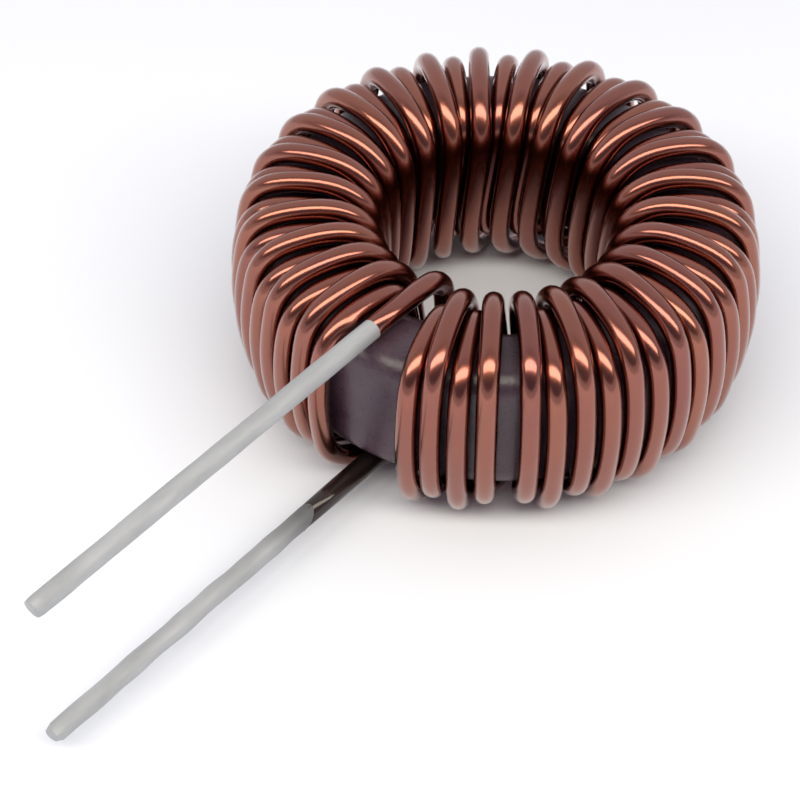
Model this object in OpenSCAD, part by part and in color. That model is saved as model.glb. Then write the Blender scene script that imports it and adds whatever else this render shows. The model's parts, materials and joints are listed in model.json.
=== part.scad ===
// Toroidal inductor: a pressed powder ring core wound with one length of thick enamelled copper wire.
// The ring lies flat. Its axis is Z and the two tinned wire ends run out side by side along -Y.
// Every second turn is seated on the core. The turns between ride in the valleys of their neighbours
// inside the bore, where there is no room for one layer, and come down to the core at the outer wall.

/* [Core] */
// Outer diameter of the ring core
core_od = 23.8; // [22.5:0.1:30]
// Bore of the ring core
core_id = 15.2; // [12.5:0.1:15.5]
// Height of the ring core
core_h = 7.5; // [5:0.1:14]
// Rounding of the core's four rims
core_edge_r = 1.5; // [0.6:0.1:2.2]

/* [Wire] */
// Diameter of the wire over its enamel
wire_d = 1.08; // [0.9:0.02:1.2]
// Thickness of the enamel
enamel = 0.04; // [0.02:0.01:0.06]
// Inside radius of the wire's bends round the core's rims
bend_r = 1.85; // [1.5:0.05:2.3]
// How far a turn bows away from the outer wall at mid height
wall_bow = 0.3; // [0:0.05:0.6]

/* [Winding] */
// Clearance between the wire and the core's rims
seat_gap = 0.05; // [0.03:0.01:0.2]
// Clearance between a raised turn and the two seated turns that it rides on
turn_gap = 0.07; // [0.04:0.01:0.15]
// Clearance between neighbouring raised turns in the bore
raised_space = 0.12; // [0.1:0.01:0.4]
// Angle left bare between the last turn and the first, where the leads come out
lead_gap = 22; // [20:0.5:60]
// Clearance between the upper lead and the first turn beside it
lead_space = 0.5; // [0.1:0.05:0.6]
// Turns in the short group after the narrow bare strip
tail_turns = 4; // [2:1:8]
// How much wider the turns are spread opposite the leads than beside them
spread = 0.12; // [0:0.01:0.15]
// Angle by which a turn leans on its way in over the top face
top_lean = 2.5; // [0:0.5:4]
// The same lean in the short group
tail_lean = 0.5; // [0:0.5:2]
// Angle by which a turn leans on its way down the bore
bore_lean = 6.5; // [0:0.5:9]
// Unevenness of the hand-laid turns, as an angle
wander = 0.25; // [0:0.05:0.5]

/* [Leads] */
// Distance of both leads from the ring's middle plane
lead_x = 1; // [0.6:0.05:1.6]
// How far in from the other turns the upper lead bends down into the bore
entry_slack = 1.9; // [0.9:0.1:2.2]
// Thickness of the solder on the bared wire
tin_coat = 0.01; // [0.01:0.01:0.05]
// Length over which the solder thins out to nothing towards the enamel
tin_feather = 4; // [3.5:0.1:6]
// Distance from the axis to where the upper lead's tin starts
upper_tin = 10.7; // [9.5:0.1:12]
// Distance from the axis to where the lower lead's tin starts
lower_tin = 16; // [13.5:0.1:20]
// Distance from the axis to the upper lead's cut end
upper_reach = 33; // [20:0.5:60]
// Distance from the axis to the lower lead's cut end
lower_reach = 33; // [24:0.5:60]
// Chamfer that the cutter leaves on a lead's end
cut_chamfer = 0.12; // [0.05:0.01:0.25]

/* [Hidden] */

// Flat sides of the modelled wire, and bends at each of the core's rims
wire_sides = 8;
corner_steps = 3;
// Facets of the true round surfaces
round_fn = 96;
// Phase step that scatters the turns' unevenness
scatter = 107;
// Share of a wire diameter by which a raised turn stands in from the seated ones
nest_share = 0.8;
// Growth of the lean down the bore: above 1 it comes mostly in the lower half
bore_curve = 1.6;

// Largest share of the ring's width or height that the rounding of one rim takes
rim_share = 0.45;

// The roundings of the rims, and the wire's bends round them, are limited by the ring's section
core_w = (core_od - core_id) / 2;
rim_r = min(core_edge_r, rim_share * min(core_w, core_h));
rim_bend_r = min(bend_r, min(core_w, core_h) / 2);
// The wire bears on the rims, so its straight runs stand off the core's faces by this much
stand_off = seat_gap + (1 - sqrt(0.5)) * max(0, rim_bend_r - rim_r);
bend = rim_bend_r + wire_d / 2;
wall_r = core_od / 2 + stand_off + wire_d / 2;
bore_r = core_id / 2 - stand_off - wire_d / 2;
face_h = core_h / 2 + stand_off + wire_d / 2;
// Centres of the wire's bends, and the straight runs between them
outer_c = wall_r - bend;
inner_c = bore_r + bend;
height_c = face_h - bend;
face_run = outer_c - inner_c;
wall_run = 2 * height_c;

// Angles round the ring's section, from the outer wall over the top: one for each bend of the wire
section_step = 90 / corner_steps;
section_angles = [for (k = [0 : 4 * corner_steps - 1]) (k + 0.5) * section_step];
// Where the bore's run ends and where the slanted run under the ring ends
bore_end = 180 + section_step / 2;
under_end = 270 + section_step / 2;

// Spacing of the turns, set by the room that the raised turns have in the bore
near = wire_d + turn_gap;
tight_pitch = to_angle(wire_d + raised_space, 2 * (bore_r - nest_share * near));
mean_pitch = tight_pitch / (1 - spread);
// The narrow bare strip, as wide as two raised turns side by side need in the bore
pause_gap = tight_pitch - top_lean + tail_lean;
// Slant of the steepest run under the ring, the one that brings the wire back across the bare strip
under_lean = top_lean + bore_lean + mean_pitch + pause_gap;
under_slant = atan(to_length(under_lean, (bore_r + outer_c) / 2) / (travel(under_end) - travel(bore_end)));
wound_span = 360 - lead_gap - pause_gap;
main_turns = 2 * floor((floor(wound_span / mean_pitch) + 1 - tail_turns) / 2);
turns = main_turns + tail_turns;
first_angle = asin((lead_x - near - lead_space) / wall_r);

// The ring rests on the undersides of its raised turns
mid_z = face_h + nest(inner_c + bend * cos(under_end - section_step), under_slant) + wire_d / 2;
upper_z = mid_z + face_h;
lower_z = mid_z - face_h;
bare_d = wire_d - 2 * enamel;
lead_d = bare_d + 2 * tin_coat;

function to_angle(length, r) = length / r * 180 / PI;
function to_length(angle, r) = angle * PI / 180 * r;
function unit(v) = v / norm(v);
function share(s, from, to) = min(1, max(0, (s - from) / (to - from)));

// Length of wire from the top of the outer wall to an angle round the section
function travel(a) =
    to_length(a, bend) + (a > 90 ? face_run : 0) + (a > 180 ? wall_run : 0) + (a > 270 ? face_run : 0);

// True for a turn that rides on its neighbours. The first and the last turn are seated.
function raised(i) = (i < main_turns ? i : turns - 1 - i) % 2 != 0;

// Angle round the ring at which a turn climbs the outer wall
function outer_angle(i) =
    let (t = i / (turns - 1))
    let (even = wound_span * (t - spread * sin(360 * t) / (2 * PI)))
    first_angle - even - (i < main_turns ? 0 : pause_gap) + wander * sin(scatter * i);

// Angle round the ring at which a turn enters the bore. Turn -1 is the upper lead coming in.
function inner_angle(i) =
    i < 0 ? asin(lead_x / (inner_c - entry_slack - bend * tan(section_step / 2))) :
    outer_angle(i) + (i < main_turns ? top_lean : tail_lean);

// Angle round the ring of a turn at an angle round the section
function turn_angle(i, a) =
    let (start = i < 0 ? inner_angle(i) : outer_angle(i))
    let (s = travel(a))
    let (over = share(s, travel(45), travel(135)))
    let (down = pow(share(s, travel(135), travel(bore_end)), bore_curve))
    let (under = share(s, travel(bore_end), travel(under_end)))
    start + (inner_angle(i) - start) * over + bore_lean * down
        + (outer_angle(i + 1) - inner_angle(i) - bore_lean) * under;

// How far a raised turn stands off at a radius, to clear the seated turns on both sides
function nest(r, slant) =
    let (pitch = tight_pitch - 2 * wander * sin(scatter / 2))
    let (side = to_length(pitch, r) * cos(slant))
    sqrt(max(0, near * near - side * side));

// A point of the wire and the direction that faces away from the core there
function on_ring(r, angle, z, a) =
    [[r * sin(angle), -r * cos(angle), z], [cos(a) * sin(angle), -cos(a) * cos(angle), sin(a)]];

// A bend of a turn. The upper lead comes in flat on the top face and dives loosely into the bore.
// The run across the bare strip has no turn to ride on, so it comes down to the core.
function bend_point(i, a) =
    let (entry = i < 0 && a < 180)
    let (alone = i == main_turns - 1 && a > 270)
    let (c = entry ? inner_c - entry_slack : a > 90 && a < 270 ? inner_c : outer_c)
    let (slant = a > 180 && a <= under_end ? under_slant : 0)
    let (lift = raised(i) && !entry && !alone ? nest(c + bend * cos(a), slant) : 0)
    let (reach = (bend + lift) / cos(section_step / 2))
    let (z = mid_z + (a < 180 ? height_c : -height_c) + reach * sin(a))
    on_ring(c + reach * cos(a), turn_angle(i, a), z, a);

function wall_point(i) = on_ring(wall_r + wall_bow, outer_angle(i), mid_z, 0);

// The whole enamelled wire: in over the top face, round every turn, and out under the core
wire_path = concat(
    [[[lead_x, -upper_tin, upper_z], [0, 0, 1]]],
    [for (a = section_angles) if (a > 90) bend_point(-1, a)],
    [for (i = [0 : turns - 1]) each concat(
        [wall_point(i)],
        [for (a = section_angles) if (i < turns - 1 || a < 270) bend_point(i, a)])],
    [for (y = [outer_c, outer_c + wire_d, lower_tin]) [[lead_x, -y, lower_z], [0, 0, -1]]]);

// Straight run of the wire before and after a point of its path
last_run = len(wire_path) - 2;
function run(k) = unit(wire_path[k + 1][0] - wire_path[k][0]);
function run_before(k) = run(max(0, k - 1));
function run_after(k) = run(min(k, last_run));

// Section of the wire where two runs meet, on the plane halfway between them.
// It is stretched in the plane of the bend so that both runs keep their thickness.
function wire_ring(k) =
    let (ahead = unit(run_before(k) + run_after(k)))
    let (away = wire_path[k][1])
    let (out = unit(away - ahead * (away * ahead)))
    let (side = cross(ahead, out))
    let (mitre = 1 / (ahead * run_after(k)))
    [for (j = [0 : wire_sides - 1])
        let (turn = j * 360 / wire_sides)
        wire_path[k][0] + wire_d / 2 * (out * mitre * cos(turn) + side * sin(turn))];

module core_section() {
    translate([core_id / 2, mid_z - core_h / 2]) {
        translate([rim_r, 0])
            square([core_w - 2 * rim_r, core_h]);
        translate([0, rim_r])
            square([core_w, core_h - 2 * rim_r]);
        for (x = [rim_r, core_w - rim_r], y = [rim_r, core_h - rim_r])
            translate([x, y])
                circle(rim_r, $fn = round_fn);
    }
}

module core() {
    color("dimgray")
        rotate_extrude($fn = round_fn)
            core_section();
}

module winding() {
    rings = len(wire_path);
    points = [for (k = [0 : rings - 1]) each wire_ring(k)];
    function corner(k, j) = k * wire_sides + j % wire_sides;
    start_cap = [[for (j = [0 : wire_sides - 1]) corner(0, j)]];
    end_cap = [[for (j = [wire_sides - 1 : -1 : 0]) corner(rings - 1, j)]];
    skin = [for (k = [0 : rings - 2], j = [0 : wire_sides - 1]) each [
        [corner(k, j), corner(k + 1, j), corner(k + 1, j + 1)],
        [corner(k, j), corner(k + 1, j + 1), corner(k, j + 1)]]];
    color("sienna")
        polyhedron(points, concat(start_cap, skin, end_cap));
}

// A tinned wire end along -Y: the feathered start of its tin, the free pin and its chamfered cut
module tinned_end(tin_start, reach, z) {
    length = reach - tin_start;
    straight = length - tin_feather - cut_chamfer;
    color("silver")
        translate([lead_x, -tin_start, z])
            rotate([90, 0, 0]) {
                cylinder(d1 = bare_d, d2 = lead_d, h = tin_feather, $fn = round_fn);
                translate([0, 0, tin_feather])
                    cylinder(d = lead_d, h = straight, $fn = round_fn);
                translate([0, 0, length - cut_chamfer])
                    cylinder(d1 = lead_d, d2 = lead_d - 2 * cut_chamfer, h = cut_chamfer, $fn = round_fn);
            }
}

module upper_lead() {
    tinned_end(upper_tin, upper_reach, upper_z);
}

module lower_lead() {
    tinned_end(lower_tin, lower_reach, lower_z);
}

core();
winding();
upper_lead();
lower_lead();
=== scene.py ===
"""Looks of the ring inductor: round enamelled wire, solder-dipped ends and a coated powder core.

The wire is laid by the rule of the part's source. Every second turn is seated on the core, and the turns
between ride in the valleys of their neighbours inside the bore, where there is no room for one layer.
"""

import json
import logging
import math
from dataclasses import dataclass
from enum import Enum
from itertools import accumulate

import bmesh
import bpy
from mathutils import Matrix, Vector, noise


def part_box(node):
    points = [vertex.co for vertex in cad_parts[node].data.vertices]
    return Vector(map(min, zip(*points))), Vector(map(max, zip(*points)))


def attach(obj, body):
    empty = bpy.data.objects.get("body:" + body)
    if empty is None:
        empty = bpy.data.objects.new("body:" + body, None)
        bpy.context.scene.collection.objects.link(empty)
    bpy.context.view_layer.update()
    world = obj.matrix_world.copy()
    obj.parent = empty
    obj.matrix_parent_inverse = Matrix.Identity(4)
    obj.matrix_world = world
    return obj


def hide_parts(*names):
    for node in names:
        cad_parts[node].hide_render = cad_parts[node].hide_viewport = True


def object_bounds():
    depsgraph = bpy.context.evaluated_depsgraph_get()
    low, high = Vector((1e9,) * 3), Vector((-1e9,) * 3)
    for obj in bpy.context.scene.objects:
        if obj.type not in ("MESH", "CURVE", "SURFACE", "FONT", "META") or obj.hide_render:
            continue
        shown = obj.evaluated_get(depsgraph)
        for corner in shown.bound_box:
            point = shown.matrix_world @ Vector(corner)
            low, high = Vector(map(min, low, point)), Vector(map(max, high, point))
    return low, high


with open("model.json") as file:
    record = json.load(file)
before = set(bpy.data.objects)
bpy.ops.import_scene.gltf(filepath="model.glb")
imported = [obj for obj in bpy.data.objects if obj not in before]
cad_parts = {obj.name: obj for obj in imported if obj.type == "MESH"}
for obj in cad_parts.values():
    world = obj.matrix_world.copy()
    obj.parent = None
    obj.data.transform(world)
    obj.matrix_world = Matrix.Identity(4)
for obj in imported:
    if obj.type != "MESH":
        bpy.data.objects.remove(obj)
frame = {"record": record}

CAD_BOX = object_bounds()
LOG = logging.getLogger("inductor")
MM = 0.001
BODY = "root"

# Attributes that the finishes read: the length of wire left to its end, and how far the solder is darkened,
# for flux fumes and painted shade
TO_END = "to_end"
SMOKE_AND_SHADE = "smoke_and_shade"

# A colour, two ends of a range, and a ring's middle with the direction of the tube there
Colour = tuple[float, float, float]
Span = tuple[float, float]
Ring = tuple[Vector, Vector]


class Node(Enum):
    """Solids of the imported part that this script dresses."""

    CORE = "core"
    WINDING = "winding"
    UPPER_LEAD = "upper_lead"
    LOWER_LEAD = "lower_lead"


class Slot(Enum):
    """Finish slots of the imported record."""

    CORE = "core_coat"
    WIRE = "enamelled_copper"
    SOLDER = "solder"


def to_length(angle: float, radius: float) -> float:
    """Length of an arc of that many degrees."""
    return math.radians(angle) * radius


def to_angle(length: float, radius: float) -> float:
    """Degrees of an arc of that length."""
    return math.degrees(length / radius)


def share(value: float, low: float, high: float) -> float:
    """How far a value has come from low to high, kept between 0 and 1."""
    return min(1.0, max(0.0, (value - low) / (high - low)))


def pin_of(node: Node) -> dict:
    """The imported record's pin of a lead.

    Args:
        node: the lead.

    Returns:
        The mount's entry, with its place in metres and its sizes in millimetres.
    """
    mounts = {mount["name"]: mount for mount in frame["record"]["mounts"]}
    return mounts[node.value + "_pin"]


@dataclass
class WireLay:
    """How the wire is laid round the core: the rule of the part's source, in metres and degrees.

    The section angle runs from the outer wall over the top face, the bore and the underside.
    """

    core_id: float = 15.2 * MM
    core_edge_r: float = 1.5 * MM
    wire_d: float = 1.08 * MM
    bend_r: float = 1.85 * MM
    wall_bow: float = 0.3 * MM
    seat_gap: float = 0.05 * MM
    turn_gap: float = 0.07 * MM
    raised_space: float = 0.12 * MM
    lead_gap: float = 22.0
    lead_space: float = 0.5 * MM
    tail_turns: int = 4
    spread: float = 0.12
    top_lean: float = 2.5
    tail_lean: float = 0.5
    bore_lean: float = 6.5
    bore_curve: float = 1.6
    wander: float = 0.25
    scatter: float = 107.0
    entry_slack: float = 1.9 * MM
    nest_share: float = 0.8
    corner_steps: int = 3

    def __post_init__(self) -> None:
        """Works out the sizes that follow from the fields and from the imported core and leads."""
        low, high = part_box(Node.CORE.value)
        self.mid_z = (low.z + high.z) / 2
        self.upper_tin = -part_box(Node.UPPER_LEAD.value)[1].y
        self.lower_tin = -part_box(Node.LOWER_LEAD.value)[1].y
        self.lead_x = pin_of(Node.UPPER_LEAD)["pos_m"][0]
        self.section_step = 90 / self.corner_steps
        self.bore_end = 180 + self.section_step / 2
        self.under_end = 270 + self.section_step / 2
        stand_off = self.seat_gap + (1 - math.sqrt(0.5)) * max(0.0, self.bend_r - self.core_edge_r)
        half = self.wire_d / 2
        self.bend = self.bend_r + half
        self.wall_r = (high.x - low.x) / 2 + stand_off + half
        self.bore_r = self.core_id / 2 - stand_off - half
        self.face_h = (high.z - low.z) / 2 + stand_off + half
        self.outer_c = self.wall_r - self.bend
        self.inner_c = self.bore_r + self.bend
        self.height_c = self.face_h - self.bend
        self._space_turns()

    def _space_turns(self) -> None:
        """Works out the spacing and the number of the turns from the room in the bore."""
        self.near = self.wire_d + self.turn_gap
        raised_r = self.bore_r - self.nest_share * self.near
        self.tight_pitch = to_angle(self.wire_d + self.raised_space, 2 * raised_r)
        mean_pitch = self.tight_pitch / (1 - self.spread)
        self.pause_gap = self.tight_pitch - self.top_lean + self.tail_lean
        under_lean = self.top_lean + self.bore_lean + mean_pitch + self.pause_gap
        under_length = self.travel(self.under_end) - self.travel(self.bore_end)
        under_side = to_length(under_lean, (self.bore_r + self.outer_c) / 2)
        self.under_slant = math.atan(under_side / under_length)
        self.wound_span = 360 - self.lead_gap - self.pause_gap
        room = math.floor(self.wound_span / mean_pitch) + 1
        self.main_turns = 2 * ((room - self.tail_turns) // 2)
        self.turns = self.main_turns + self.tail_turns
        self.first_angle = math.degrees(math.asin((self.lead_x - self.near - self.lead_space) / self.wall_r))

    def travel(self, section: float) -> float:
        """Length of wire from the outer wall's top to a section angle.

        Args:
            section: angle round the ring's section, in degrees.

        Returns:
            The length, over the bends and the straight runs between them.
        """
        face_run = self.outer_c - self.inner_c
        runs = (section > 90) * face_run + (section > 180) * 2 * self.height_c + (section > 270) * face_run
        return to_length(section, self.bend) + runs

    def raised(self, turn: int) -> bool:
        """True for a turn that rides on its neighbours; the first and the last turn are seated."""
        return (turn if turn < self.main_turns else self.turns - 1 - turn) % 2 != 0

    def outer_angle(self, turn: int) -> float:
        """Angle round the ring at which a turn climbs the outer wall.

        The turns lie closer towards both ends of the winding, and each wanders a little.

        Args:
            turn: number of the turn, from 0.

        Returns:
            The angle, in degrees from -Y towards +X.
        """
        part = turn / (self.turns - 1)
        even = self.wound_span * (part - self.spread * math.sin(math.tau * part) / math.tau)
        pause = 0.0 if turn < self.main_turns else self.pause_gap
        return self.first_angle - even - pause + self.wander * math.sin(math.radians(self.scatter * turn))

    def inner_angle(self, turn: int) -> float:
        """Angle round the ring at which a turn enters the bore.

        Args:
            turn: number of the turn, from 0, or -1 for the upper lead coming in.

        Returns:
            The angle, in degrees from -Y towards +X.
        """
        if turn < 0:
            corner = self.bend * math.tan(math.radians(self.section_step / 2))
            return math.degrees(math.asin(self.lead_x / (self.inner_c - self.entry_slack - corner)))
        return self.outer_angle(turn) + (self.top_lean if turn < self.main_turns else self.tail_lean)

    def turn_angle(self, turn: int, section: float) -> float:
        """Angle round the ring of a turn at a section angle.

        Args:
            turn: number of the turn, from 0, or -1 for the upper lead coming in.
            section: angle round the ring's section, in degrees.

        Returns:
            The angle round the ring, in degrees from -Y towards +X.
        """
        inner = self.inner_angle(turn)
        start = inner if turn < 0 else self.outer_angle(turn)
        way = self.travel(section)
        over = share(way, self.travel(45), self.travel(135))
        down = share(way, self.travel(135), self.travel(self.bore_end)) ** self.bore_curve
        under = share(way, self.travel(self.bore_end), self.travel(self.under_end))
        back = self.outer_angle(turn + 1) - inner - self.bore_lean
        return start + (inner - start) * over + self.bore_lean * down + back * under

    def nest(self, radius: float, slant: float) -> float:
        """How far a raised turn stands off, to clear the seated turns beside it.

        Args:
            radius: distance from the ring's axis.
            slant: slant of the wire against the ring's radius, in radians.

        Returns:
            The height over the seated turns, which is 0 where they leave room between them.
        """
        pitch = self.tight_pitch - 2 * self.wander * math.sin(math.radians(self.scatter / 2))
        side = to_length(pitch, radius) * math.cos(slant)
        return math.sqrt(max(0.0, self.near ** 2 - side ** 2))

    def on_ring(self, radius: float, angle: float, z: float) -> Vector:
        """Point at a radius, an angle round the ring and a height."""
        turn = math.radians(angle)
        return Vector((radius * math.sin(turn), -radius * math.cos(turn), z))

    def bend_point(self, turn: int, section: float) -> Vector:
        """Corner point of a turn at one of its bends.

        The upper lead comes in flat on the top face and dives loosely into the bore. The run across the
        bare strip has no turn to ride on, so it comes down to the core.

        Args:
            turn: number of the turn, from 0, or -1 for the upper lead coming in.
            section: angle round the ring's section, in degrees.

        Returns:
            The point that the wire bends round.
        """
        across, up = math.cos(math.radians(section)), math.sin(math.radians(section))
        entry = turn < 0 and section < 180
        alone = turn == self.main_turns - 1 and section > 270
        centre = self.inner_c if 90 < section < 270 else self.outer_c
        centre -= self.entry_slack if entry else 0.0
        slant = self.under_slant if 180 < section <= self.under_end else 0.0
        lifted = self.raised(turn) and not entry and not alone
        lift = self.nest(centre + self.bend * across, slant) if lifted else 0.0
        reach = (self.bend + lift) / math.cos(math.radians(self.section_step / 2))
        height = self.height_c if section < 180 else -self.height_c
        z = self.mid_z + height + reach * up
        return self.on_ring(centre + reach * across, self.turn_angle(turn, section), z)

    def corners(self, sleeve: float) -> list[Vector]:
        """Corner points of the whole enamelled wire, from the upper lead's tin to the lower lead's.

        Args:
            sleeve: how far the wire runs on inside the tin at both ends.

        Returns:
            The points, in the order in which the wire is wound.
        """
        sections = [(step + 0.5) * self.section_step for step in range(4 * self.corner_steps)]
        upper_z, lower_z = self.mid_z + self.face_h, self.mid_z - self.face_h
        points = [Vector((self.lead_x, -self.upper_tin - sleeve, upper_z))]
        points += [self.bend_point(-1, section) for section in sections if section > 90]
        for turn in range(self.turns):
            points.append(self.on_ring(self.wall_r + self.wall_bow, self.outer_angle(turn), self.mid_z))
            last = turn == self.turns - 1
            points += [self.bend_point(turn, s) for s in sections if not (last and s > 270)]
        way_out = (self.outer_c, self.outer_c + self.wire_d, self.lower_tin + sleeve)
        return points + [Vector((self.lead_x, -reach, lower_z)) for reach in way_out]


class NodeTree:
    """A material's or world's nodes, laid out with few words."""

    def __init__(self, owner: bpy.types.Material | bpy.types.World) -> None:
        """Starts from an empty tree."""
        owner.use_nodes = True
        self.tree = owner.node_tree
        self.tree.nodes.clear()

    def add(self, kind: str, **settings: object) -> bpy.types.Node:
        """Adds a node.

        Args:
            kind: the node's type, without its ShaderNode prefix.
            settings: properties of the node, or default values of its sockets by name with _ for a space.

        Returns:
            The new node.
        """
        made = self.tree.nodes.new("ShaderNode" + kind)
        for name, value in settings.items():
            if hasattr(made, name):
                setattr(made, name, value)
            else:
                made.inputs[name.replace("_", " ")].default_value = value
        return made

    def link(self, source: bpy.types.Node, output: str, target: bpy.types.Node, socket: str | int) -> None:
        """Links an output, by its name, to a socket of another node, by its name or number."""
        self.tree.links.new(source.outputs[output], target.inputs[socket])

    def ramp(self, *stops: tuple[float, Colour]) -> bpy.types.Node:
        """Adds a colour ramp.

        Args:
            stops: places from 0 to 1 with their colours.

        Returns:
            The new node.
        """
        made = self.add("ValToRGB")
        elements = made.color_ramp.elements
        while len(elements) < len(stops):
            elements.new(0.5)
        for element, (place, colour) in zip(elements, stops):
            element.position = place
            element.color = (*colour, 1.0)
        return made

    def blots(self, place: bpy.types.Node, output: str, size: float, detail: float) -> bpy.types.Node:
        """Adds a noise on a node's coordinates.

        Args:
            place: the node that gives the coordinates.
            output: name of its output.
            size: width of the largest blots.
            detail: number of finer layers.

        Returns:
            The new node.
        """
        made = self.add("TexNoise", Scale=1 / size, Detail=detail)
        self.link(place, output, made, "Vector")
        return made

    def overlay(self, fine: bpy.types.Node, weight: float, coarse: bpy.types.Node) -> bpy.types.Node:
        """Adds part of a fine noise to a coarse one.

        Args:
            fine: the fine noise.
            weight: the part of it that is added.
            coarse: the coarse noise.

        Returns:
            The new node.
        """
        made = self.add("Math", operation="MULTIPLY_ADD")
        made.inputs[1].default_value = weight
        self.link(fine, "Fac", made, 0)
        self.link(coarse, "Fac", made, 2)
        return made

    def scaled(self, source: bpy.types.Node, output: str, low: float, high: float) -> bpy.types.Node:
        """Spreads a value from 0 to 1 over another range.

        Args:
            source: the node that gives the value.
            output: name of its output.
            low: result at 0.
            high: result at 1.

        Returns:
            The new node.
        """
        made = self.add("MapRange", To_Min=low, To_Max=high)
        self.link(source, output, made, "Value")
        return made

    def soft_step(self, source: bpy.types.Node, output: str, start: float, end: float) -> bpy.types.Node:
        """Takes a value softly from 0 to 1.

        Args:
            source: the node that gives the value.
            output: name of its output.
            start: value up to which the result is 0.
            end: value from which it is 1.

        Returns:
            The new node.
        """
        made = self.add("MapRange", interpolation_type="SMOOTHSTEP", From_Min=start, From_Max=end)
        self.link(source, output, made, "Value")
        return made

    def larger(self, one: bpy.types.Node, two: bpy.types.Node) -> bpy.types.Node:
        """Takes the larger of two results.

        Args:
            one: the first node, from scaled or soft_step.
            two: the second node.

        Returns:
            The new node.
        """
        made = self.add("Math", operation="MAXIMUM")
        self.link(one, "Result", made, 0)
        self.link(two, "Result", made, 1)
        return made

    def bump(self, height: bpy.types.Node, depth: float) -> bpy.types.Node:
        """Makes a noise stand out from the surface.

        Args:
            height: the noise.
            depth: height of its peaks.

        Returns:
            The new node.
        """
        made = self.add("Bump", Strength=1.0, Distance=depth)
        self.link(height, "Fac", made, "Height")
        return made


@dataclass(frozen=True)
class EnamelledCopper:
    """Drawn copper under a clear amber enamel, a little redder and browner from turn to turn.

    For a few millimetres before the lower lead's tin the wire is darker, greyer and duller: partly enamel
    charred by the tinning, partly painted shade where the wire comes out from under the ring.
    """

    name: str = "enamelled_copper"
    amber: Colour = (0.3, 0.091, 0.05)
    rosy: Colour = (0.25, 0.071, 0.052)
    tone_span: Span = (0.45, 0.95)
    roughness: Span = (0.18, 0.27)
    coat_roughness: float = 0.12
    coat_ior: float = 1.5
    tone_length: float = 24.0 * MM
    mottle_size: float = 0.9 * MM
    mottle_weight: float = 0.4
    ripple_size: float = 1.6 * MM
    ripple_depth: float = 0.006 * MM
    # Where the wire darkens before the lower lead's tin: charred enamel and painted shade under the ring
    scorch_and_shade_start: float = 9.0 * MM
    scorch_and_shade_full: float = 5.5 * MM
    scorch_and_shade_tone: float = 0.12
    scorch_and_shade_saturation: float = 0.5
    scorch_and_shade_roughness: float = 0.6

    def build(self) -> bpy.types.Material:
        """Makes the material.

        Returns:
            The material, which reads the wire's own attribute of length and Object coordinates.
        """
        material = bpy.data.materials.new(self.name)
        nodes = NodeTree(material)
        place = nodes.add("TexCoord")
        to_end = nodes.add("Attribute", attribute_name=TO_END)
        tone = nodes.add("TexNoise", noise_dimensions="1D", Scale=1 / self.tone_length, Detail=2.0)
        nodes.link(to_end, "Fac", tone, "W")
        mottle = nodes.blots(place, "Object", self.mottle_size, detail=3.0)
        both = nodes.overlay(mottle, self.mottle_weight, tone)
        colour = nodes.ramp((self.tone_span[0], self.rosy), (self.tone_span[1], self.amber))
        nodes.link(both, "Value", colour, "Fac")
        # Painted shade, with charred enamel: darkens and greys the wire's last millimetres before the lower
        # lead's tin
        clear_of_scorch_and_shade = nodes.soft_step(to_end, "Fac", self.scorch_and_shade_full, self.scorch_and_shade_start)
        scorch_and_shade_tint = nodes.add("HueSaturation")
        nodes.link(colour, "Color", scorch_and_shade_tint, "Color")
        for socket, full_scorch_and_shade in (("Value", self.scorch_and_shade_tone), ("Saturation", self.scorch_and_shade_saturation)):
            nodes.link(nodes.scaled(clear_of_scorch_and_shade, "Result", full_scorch_and_shade, 1.0), "Result", scorch_and_shade_tint, socket)
        gloss = nodes.scaled(mottle, "Fac", *self.roughness)
        dull = nodes.scaled(clear_of_scorch_and_shade, "Result", self.scorch_and_shade_roughness, 0.0)
        rough = nodes.larger(gloss, dull)
        bump = nodes.bump(nodes.blots(place, "Object", self.ripple_size, detail=2.0), self.ripple_depth)
        shader = nodes.add(
            "BsdfPrincipled", Metallic=1.0, Coat_Weight=1.0, Coat_Roughness=self.coat_roughness,
            Coat_IOR=self.coat_ior,
        )
        nodes.link(scorch_and_shade_tint, "Color", shader, "Base Color")
        nodes.link(rough, "Value", shader, "Roughness")
        nodes.link(bump, "Normal", shader, "Normal")
        nodes.link(shader, "BSDF", nodes.add("OutputMaterial"), "Surface")
        return material


@dataclass(frozen=True)
class PowderCoat:
    """Dark grey epoxy over pressed powder: fine grain, a soft sheen and cloudy tones."""

    name: str = "core_coat"
    dark: Colour = (0.038, 0.019, 0.029)
    light: Colour = (0.078, 0.046, 0.064)
    tone_span: Span = (0.5, 0.95)
    roughness: Span = (0.22, 0.38)
    grain_size: float = 0.16 * MM
    grain_depth: float = 0.012 * MM
    grain_weight: float = 0.5
    cloud_size: float = 2.2 * MM

    def build(self) -> bpy.types.Material:
        """Makes the material.

        Returns:
            The material, on Object coordinates.
        """
        material = bpy.data.materials.new(self.name)
        nodes = NodeTree(material)
        place = nodes.add("TexCoord")
        grain = nodes.blots(place, "Object", self.grain_size, detail=4.0)
        cloud = nodes.blots(place, "Object", self.cloud_size, detail=3.0)
        both = nodes.overlay(grain, self.grain_weight, cloud)
        colour = nodes.ramp((self.tone_span[0], self.dark), (self.tone_span[1], self.light))
        nodes.link(both, "Value", colour, "Fac")
        rough = nodes.scaled(grain, "Fac", *self.roughness)
        bump = nodes.bump(grain, self.grain_depth)
        shader = nodes.add("BsdfPrincipled")
        nodes.link(colour, "Color", shader, "Base Color")
        nodes.link(rough, "Result", shader, "Roughness")
        nodes.link(bump, "Normal", shader, "Normal")
        nodes.link(shader, "BSDF", nodes.add("OutputMaterial"), "Surface")
        return material


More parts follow.
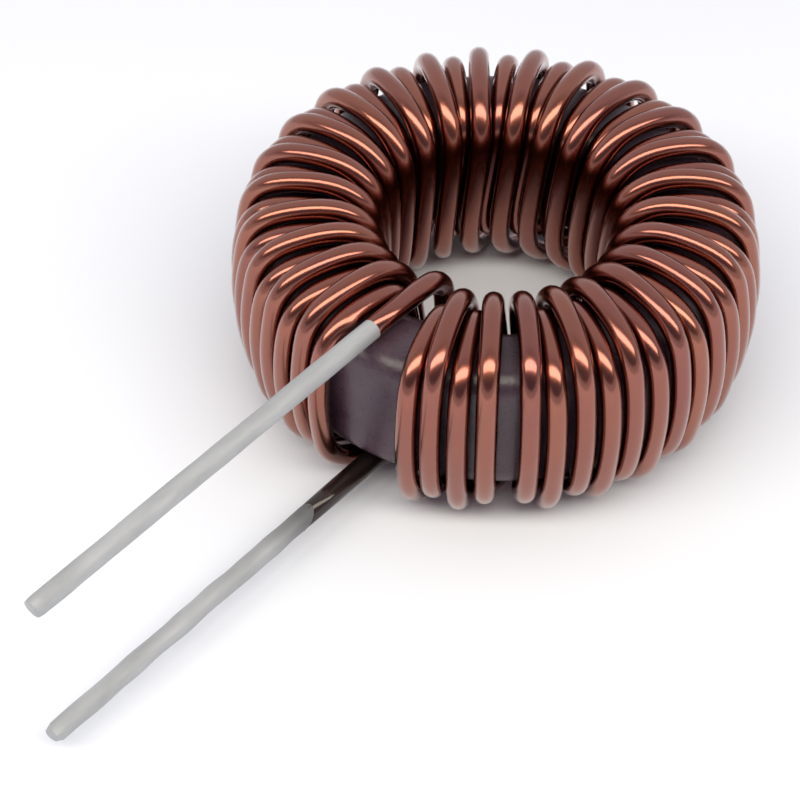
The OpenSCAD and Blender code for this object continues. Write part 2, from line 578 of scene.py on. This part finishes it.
@dataclass(frozen=True)
class SolderDip:
    """Dull solder, drawn out along the wire, with brighter patches, darker at the start of the lead next to
    the ring: flux fumes and painted shade.
    """

    name: str = "solder"
    bright: Colour = (0.45, 0.458, 0.477)
    dull: Colour = (0.365, 0.373, 0.388)
    patch_span: Span = (0.3, 0.65)
    metallic: float = 0.3
    roughness: Span = (0.5, 0.7)
    patch_size: float = 0.8 * MM
    stretch: float = 0.25
    pit_size: float = 0.12 * MM
    pit_depth: float = 0.008 * MM
    # How dark the tin's start gets: flux fumes and painted shade next to the ring
    smoke_and_shade_tone: float = 0.35

    def build(self) -> bpy.types.Material:
        """Makes the material.

        Returns:
            The material, which reads the leads' own attribute of darkening, for flux fumes and painted shade,
            and Object coordinates.
        """
        material = bpy.data.materials.new(self.name)
        nodes = NodeTree(material)
        place = nodes.add("TexCoord")
        drawn = nodes.add("Mapping", Scale=(1.0, self.stretch, 1.0))
        nodes.link(place, "Object", drawn, "Vector")
        patch = nodes.blots(drawn, "Vector", self.patch_size, detail=4.0)
        pits = nodes.blots(drawn, "Vector", self.pit_size, detail=2.0)
        colour = nodes.ramp((self.patch_span[0], self.dull), (self.patch_span[1], self.bright))
        nodes.link(patch, "Fac", colour, "Fac")
        # Painted shade, with flux fumes: the tin darkens at the start of the lead, next to the ring
        smoke_and_shade = nodes.add("Attribute", attribute_name=SMOKE_AND_SHADE)
        tone = nodes.scaled(smoke_and_shade, "Fac", 1.0, self.smoke_and_shade_tone)
        smoke_and_shade_tint = nodes.add("HueSaturation")
        nodes.link(colour, "Color", smoke_and_shade_tint, "Color")
        nodes.link(tone, "Result", smoke_and_shade_tint, "Value")
        rough = nodes.scaled(patch, "Fac", self.roughness[1], self.roughness[0])
        bump = nodes.bump(pits, self.pit_depth)
        shader = nodes.add("BsdfPrincipled", Metallic=self.metallic)
        nodes.link(smoke_and_shade_tint, "Color", shader, "Base Color")
        nodes.link(rough, "Result", shader, "Roughness")
        nodes.link(bump, "Normal", shader, "Normal")
        nodes.link(shader, "BSDF", nodes.add("OutputMaterial"), "Surface")
        return material


@dataclass(frozen=True)
class PaleFloor:
    """Cool white table top with a barely uneven tone, neutral under the warm lamp."""

    name: str = "pale_floor"
    low: Colour = (0.85, 0.875, 0.95)
    high: Colour = (0.87, 0.895, 0.97)
    cloud_span: Span = (0.3, 0.7)
    cloud_size: float = 60.0 * MM

    def build(self) -> bpy.types.Material:
        """Makes the material.

        Returns:
            The material, on Object coordinates.
        """
        material = bpy.data.materials.new(self.name)
        nodes = NodeTree(material)
        cloud = nodes.blots(nodes.add("TexCoord"), "Object", self.cloud_size, detail=2.0)
        colour = nodes.ramp((self.cloud_span[0], self.low), (self.cloud_span[1], self.high))
        nodes.link(cloud, "Fac", colour, "Fac")
        shader = nodes.add("BsdfDiffuse")
        nodes.link(colour, "Color", shader, "Color")
        nodes.link(shader, "BSDF", nodes.add("OutputMaterial"), "Surface")
        return material


def make_object(mesh_data: bmesh.types.BMesh, name: str, material: bpy.types.Material) -> bpy.types.Object:
    """Turns a bmesh into an object at the origin, smoothly shaded.

    Args:
        mesh_data: the finished bmesh, which is freed.
        name: name of the object and of its mesh.
        material: its only material.

    Returns:
        The new object, linked to the scene.
    """
    mesh = bpy.data.meshes.new(name)
    mesh_data.to_mesh(mesh)
    mesh_data.free()
    mesh.shade_smooth()
    mesh.materials.append(material)
    made = bpy.data.objects.new(name, mesh)
    bpy.context.scene.collection.objects.link(made)
    return made


def hand_over(piece: bpy.types.Object, node: Node, slot: Slot) -> None:
    """Lets a piece ride on the body and stand for its solid, and reports it with its finish slot.

    Args:
        piece: the finished piece.
        node: the solid that it stands for.
        slot: the record's finish slot.
    """
    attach(piece, BODY)
    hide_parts(node.value)
    LOG.info("%s: %d faces, %s", piece.name, len(piece.data.polygons), slot.value)


@dataclass
class Sweep:
    """A tube drawn out ring by ring along a line, in short stretches that are welded at the end."""

    radius: float
    sides: int
    stretch_rings: int = 64
    weld: float = 0.0005 * MM

    def frames(self, rings: list[Ring]) -> list[Matrix]:
        """Sets the rings square to the line, without twist.

        Args:
            rings: pairs of a ring's middle and the line's direction there.

        Returns:
            A matrix for each ring.
        """
        heading = rings[0][1]
        facing = heading.to_track_quat("Z", "Y")
        made = []
        for middle, ahead in rings:
            facing = heading.rotation_difference(ahead) @ facing
            heading = ahead
            made.append(Matrix.Translation(middle) @ facing.to_matrix().to_4x4())
        return made

    def stretch(self, frames: list[Matrix], to_end: list[float]) -> bpy.types.Mesh:
        """Draws out one stretch, open at both ends.

        Args:
            frames: the matrices of its rings.
            to_end: length from each ring to the tube's far end.

        Returns:
            The stretch as a mesh of its own.
        """
        bm = bmesh.new()
        layer = bm.verts.layers.float.new(TO_END)
        ring = bmesh.ops.create_circle(bm, radius=self.radius, segments=self.sides, matrix=frames[0])["verts"]
        edges = bm.edges[:]
        for index, left in enumerate(to_end):
            if index:
                made = bmesh.ops.extrude_edge_only(bm, edges=edges)["geom"]
                ring = [item for item in made if isinstance(item, bmesh.types.BMVert)]
                edges = [item for item in made if isinstance(item, bmesh.types.BMEdge)]
                bmesh.ops.transform(bm, matrix=frames[index] @ frames[index - 1].inverted(), verts=ring)
            for vert in ring:
                vert[layer] = left
        mesh = bpy.data.meshes.new("stretch")
        bm.to_mesh(mesh)
        bm.free()
        return mesh

    def build(self, rings: list[Ring]) -> bmesh.types.BMesh:
        """Draws out the whole tube, welds its stretches, closes its ends and turns its faces outwards.

        Args:
            rings: pairs of a ring's middle and the line's direction there.

        Returns:
            The finished bmesh.
        """
        frames = self.frames(rings)
        steps = [(two - one).length for (one, _), (two, _) in zip(rings, rings[1:])]
        to_end = list(accumulate(reversed(steps), initial=0.0))[::-1]
        bm = bmesh.new()
        for first in range(0, len(frames) - 1, self.stretch_rings):
            span = slice(first, first + self.stretch_rings + 1)
            mesh = self.stretch(frames[span], to_end[span])
            bm.from_mesh(mesh)
            bpy.data.meshes.remove(mesh)
        bmesh.ops.remove_doubles(bm, verts=bm.verts[:], dist=self.weld)
        bmesh.ops.holes_fill(bm, edges=[edge for edge in bm.edges if edge.is_boundary], sides=self.sides)
        bmesh.ops.recalc_face_normals(bm, faces=bm.faces[:])
        return bm


@dataclass
class Winding:
    """The enamelled wire: one round length, in over the top face, round every turn and out below."""

    lay: WireLay
    sides: int = 16
    bend_rings: int = 5
    sleeve: float = 0.5 * MM
    bared: float = 0.9

    def rings(self) -> list[Ring]:
        """Middles and directions of the wire's rings.

        The wire bends in one smooth curve from the middle of each run to the middle of the next.

        Returns:
            Pairs of a point and a direction.
        """
        corners = self.lay.corners(self.sleeve)
        middles = [(one + two) / 2 for one, two in zip(corners, corners[1:])]
        made = [(corners[0], middles[0] - corners[0])]
        for before, corner, after in zip(middles, corners[1:], middles[1:]):
            for index in range(self.bend_rings):
                t = index / self.bend_rings
                way_in, way_out = before.lerp(corner, t), corner.lerp(after, t)
                made.append((way_in.lerp(way_out, t), way_out - way_in))
        made.append((middles[-1], corners[-1] - middles[-1]))
        made.append((corners[-1], corners[-1] - middles[-1]))
        return made

    def build(self) -> bpy.types.Object:
        """Makes the wire, thins its ends to fit inside the tin and dresses it.

        Returns:
            The finished piece.
        """
        rings = self.rings()
        LOG.info("wire: %d turns, %d rings", self.lay.turns, len(rings))
        tube = Sweep(self.lay.wire_d / 2, self.sides).build(rings)
        for middle, _ in (rings[0], rings[-1]):
            end = [vert for vert in tube.verts if (vert.co - middle).length < self.lay.wire_d]
            bmesh.ops.scale(tube, vec=[self.bared] * 3, space=Matrix.Translation(-middle), verts=end)
        piece = make_object(tube, "enamelled_wire", EnamelledCopper().build())
        hand_over(piece, Node.WINDING, Slot.WIRE)
        return piece


@dataclass
class RingCore:
    """The pressed ring, with its four rims rounded."""

    bore: float
    edge_r: float
    steps: int = 160
    edge_segments: int = 8
    rim_angle: float = 45.0

    def build(self) -> bpy.types.Object:
        """Spins the ring's section round the axis, rounds its rims and dresses it.

        Returns:
            The finished piece.
        """
        low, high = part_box(Node.CORE.value)
        bm = bmesh.new()
        wall, bore = high.x, self.bore / 2
        places = ((bore, low.z), (wall, low.z), (wall, high.z), (bore, high.z))
        section = [bm.verts.new((radius, 0.0, z)) for radius, z in places]
        edges = [bm.edges.new((one, two)) for one, two in zip(section, section[1:] + section[:1])]
        bmesh.ops.spin(
            bm, geom=section + edges, axis=(0, 0, 1), cent=(0, 0, 0), angle=math.tau,
            steps=self.steps, use_merge=True,
        )
        bmesh.ops.recalc_face_normals(bm, faces=bm.faces[:])
        rims = [edge for edge in bm.edges if edge.calc_face_angle(0.0) > math.radians(self.rim_angle)]
        bmesh.ops.bevel(
            bm, geom=rims, offset=self.edge_r, affect="EDGES", segments=self.edge_segments,
            profile=0.5, material=-1,
        )
        piece = make_object(bm, "powder_ring", PowderCoat().build())
        hand_over(piece, Node.CORE, Slot.CORE)
        return piece


@dataclass
class TinnedLead:
    """A solder-dipped wire end: an uneven coat that ends in the wedge left by the cutter.

    The wedge is turned round the wire by cut_turn, in radians.
    """

    node: Node
    name: str
    seed: float
    start_slant: float
    cut_turn: float
    lump_height: float
    # How far the start is darkened, and over what length: flux fumes and painted shade next to the ring
    smoke_and_shade: float
    smoke_and_shade_length: float = 3.0 * MM
    sides: int = 20
    ring_space: float = 0.3 * MM
    lump_size: float = 1.7 * MM
    even_start: float = 1.5 * MM
    cut_length: float = 0.3 * MM
    cut_wide: float = 0.96
    cut_thick: float = 0.7
    sharp_angle: float = 40.0

    def shape(self, tube: bmesh.types.BMesh, low: Vector, high: Vector) -> None:
        """Makes the coat lumpy, slants its start, darkens it there for flux fumes and painted shade, and
        pinches the cut end to a wedge.

        Args:
            tube: the plain round lead.
            low: lower corner of the solid's box.
            high: upper corner of the solid's box.
        """
        smoke_and_shade = tube.verts.layers.float.new(SMOKE_AND_SHADE)
        axis = (low + high) / 2
        turn = Matrix.Rotation(self.cut_turn, 4, "Y")
        pinch = turn @ Matrix.Diagonal((self.cut_wide, 1.0, self.cut_thick, 1.0)) @ turn.inverted()
        middle_of_end = Matrix.Translation((-axis.x, -low.y, -axis.z))
        end = [vert for vert in tube.verts if vert.co.y < low.y + self.cut_length / 2]
        start = [vert for vert in tube.verts if vert.co.y > high.y - self.ring_space / 2]
        bmesh.ops.transform(tube, matrix=pinch, space=middle_of_end, verts=end)
        for vert in tube.verts:
            # Painted shade, with flux fumes: darkening that falls off over the first millimetres from the
            # ring
            vert[smoke_and_shade] = self.smoke_and_shade * (1 - share(high.y - vert.co.y, 0.0, self.smoke_and_shade_length))
            spoke = vert.co - Vector((axis.x, vert.co.y, axis.z))
            lump = noise.noise(vert.co / self.lump_size + Vector((self.seed, 0.0, 0.0)))
            grown = share(high.y - vert.co.y, 0.0, self.even_start)
            vert.co += spoke.normalized() * lump * grown * self.lump_height
        for vert in start:
            vert.co.y += self.start_slant * (vert.co.z - axis.z)

    def build(self, solder: bpy.types.Material) -> bpy.types.Object:
        """Makes the lead and dresses it.

        Args:
            solder: the finish that both leads share.

        Returns:
            The finished piece.
        """
        low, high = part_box(self.node.value)
        axis = (low + high) / 2
        ahead = Vector((0.0, -1.0, 0.0))
        shoulder = low.y + self.cut_length
        count = round((high.y - shoulder) / self.ring_space)
        places = [high.y + (shoulder - high.y) * index / count for index in range(count + 1)] + [low.y]
        rings = [(Vector((axis.x, y, axis.z)), ahead) for y in places]
        tube = Sweep(pin_of(self.node)["dims"]["r_mm"] * MM, self.sides).build(rings)
        self.shape(tube, low, high)
        piece = make_object(tube, self.name, solder)
        piece.data.set_sharp_from_angle(angle=math.radians(self.sharp_angle))
        hand_over(piece, self.node, Slot.SOLDER)
        return piece


@dataclass
class Studio:
    """Pale floor, one soft box overhead, a light surround behind and a dim room in front."""

    mid: Vector
    azimuth: float = 37.2
    elevation: float = 43.0
    distance: float = 132.0 * MM
    lens: float = 116.9
    sensor: float = 36.0
    near_clip: float = 10.0 * MM
    aim: Span = (2.23 * MM, -10.13 * MM)
    floor_size: float = 3.0
    box_wide: float = 0.9
    box_deep: float = 0.12
    box_height: float = 0.25
    box_forward: float = 0.14
    box_power: float = 1.75
    box_colour: Colour = (1.0, 0.96, 0.82)
    surround: Colour = (0.74, 0.74, 0.78)
    room: Colour = (0.15, 0.14, 0.19)
    back_span: Span = (-0.4, 0.3)
    horizon_span: Span = (0.27, 0.21)

    def camera(self) -> None:
        """Sets the camera at the photograph's angle."""
        around, up = math.radians(self.azimuth), math.radians(self.elevation)
        level = math.cos(up)
        back = Vector((math.sin(around) * level, -math.cos(around) * level, math.sin(up)))
        data = bpy.data.cameras.new("camera")
        data.lens = self.lens
        data.sensor_width = self.sensor
        data.clip_start = self.near_clip
        made = bpy.data.objects.new("camera", data)
        made.location = self.mid + back * self.distance
        target = Vector((*self.aim, self.mid.z))
        made.rotation_euler = (target - made.location).to_track_quat("-Z", "Y").to_euler()
        bpy.context.scene.collection.objects.link(made)
        bpy.context.scene.camera = made

    def floor(self) -> None:
        """Lays the floor under the part."""
        bm = bmesh.new()
        bmesh.ops.create_grid(
            bm, x_segments=1, y_segments=1, size=self.floor_size / 2,
            matrix=Matrix.Translation((0.0, 0.0, CAD_BOX[0].z)),
        )
        make_object(bm, "floor", PaleFloor().build())

    def soft_box(self) -> None:
        """Hangs the soft box over the front of the part, with its long side across the view."""
        data = bpy.data.lights.new("soft_box", "AREA")
        data.shape = "RECTANGLE"
        data.size = self.box_wide
        data.size_y = self.box_deep
        data.energy = self.box_power
        data.color = self.box_colour
        around = math.radians(self.azimuth)
        forward = Vector((math.sin(around), -math.cos(around), 0.0)) * self.box_forward
        made = bpy.data.objects.new("soft_box", data)
        made.location = forward + Vector((0.0, 0.0, self.box_height))
        made.rotation_euler.z = around
        bpy.context.scene.collection.objects.link(made)

    def world(self) -> None:
        """Sets the surround: pale behind and low round the part, dim in front."""
        made = bpy.data.worlds.new("studio")
        bpy.context.scene.world = made
        nodes = NodeTree(made)
        place = nodes.add("TexCoord")
        around = math.radians(self.azimuth)
        behind = nodes.add("VectorMath", operation="DOT_PRODUCT")
        behind.inputs[1].default_value = (-math.sin(around), math.cos(around), 0.0)
        nodes.link(place, "Generated", behind, 0)
        axes = nodes.add("SeparateXYZ")
        nodes.link(place, "Generated", axes, "Vector")
        back = nodes.soft_step(behind, "Value", *self.back_span)
        horizon = nodes.soft_step(axes, "Z", *self.horizon_span)
        colour = nodes.ramp((0.0, self.room), (1.0, self.surround))
        nodes.link(nodes.larger(back, horizon), "Value", colour, "Fac")
        light = nodes.add("Background", Strength=1.0)
        nodes.link(colour, "Color", light, "Color")
        nodes.link(light, "Background", nodes.add("OutputWorld"), "Surface")

    def build(self) -> None:
        """Sets up the whole studio."""
        self.camera()
        self.floor()
        self.soft_box()
        self.world()
        bpy.context.scene.view_settings.view_transform = "Standard"


def main() -> None:
    """Builds every piece and the studio round them."""
    logging.basicConfig(level=logging.INFO, format="%(name)s: %(message)s")
    lay = WireLay()
    RingCore(bore=lay.core_id, edge_r=lay.core_edge_r).build()
    Winding(lay).build()
    solder = SolderDip().build()
    TinnedLead(
        Node.UPPER_LEAD, "upper_tinned_end", seed=3.0, start_slant=0.0, cut_turn=0.3,
        lump_height=0.03 * MM, smoke_and_shade=0.0,
    ).build(solder)
    # Only the lower lead is darkened at its start: painted shade where it leaves from under the ring, with
    # flux fumes
    TinnedLead(
        Node.LOWER_LEAD, "lower_tinned_end", seed=11.0, start_slant=1.2, cut_turn=-0.5,
        lump_height=0.07 * MM, smoke_and_shade=1.0,
    ).build(solder)
    Studio(mid=Vector((0.0, 0.0, lay.mid_z))).build()


if __name__ == "__main__":
    main()
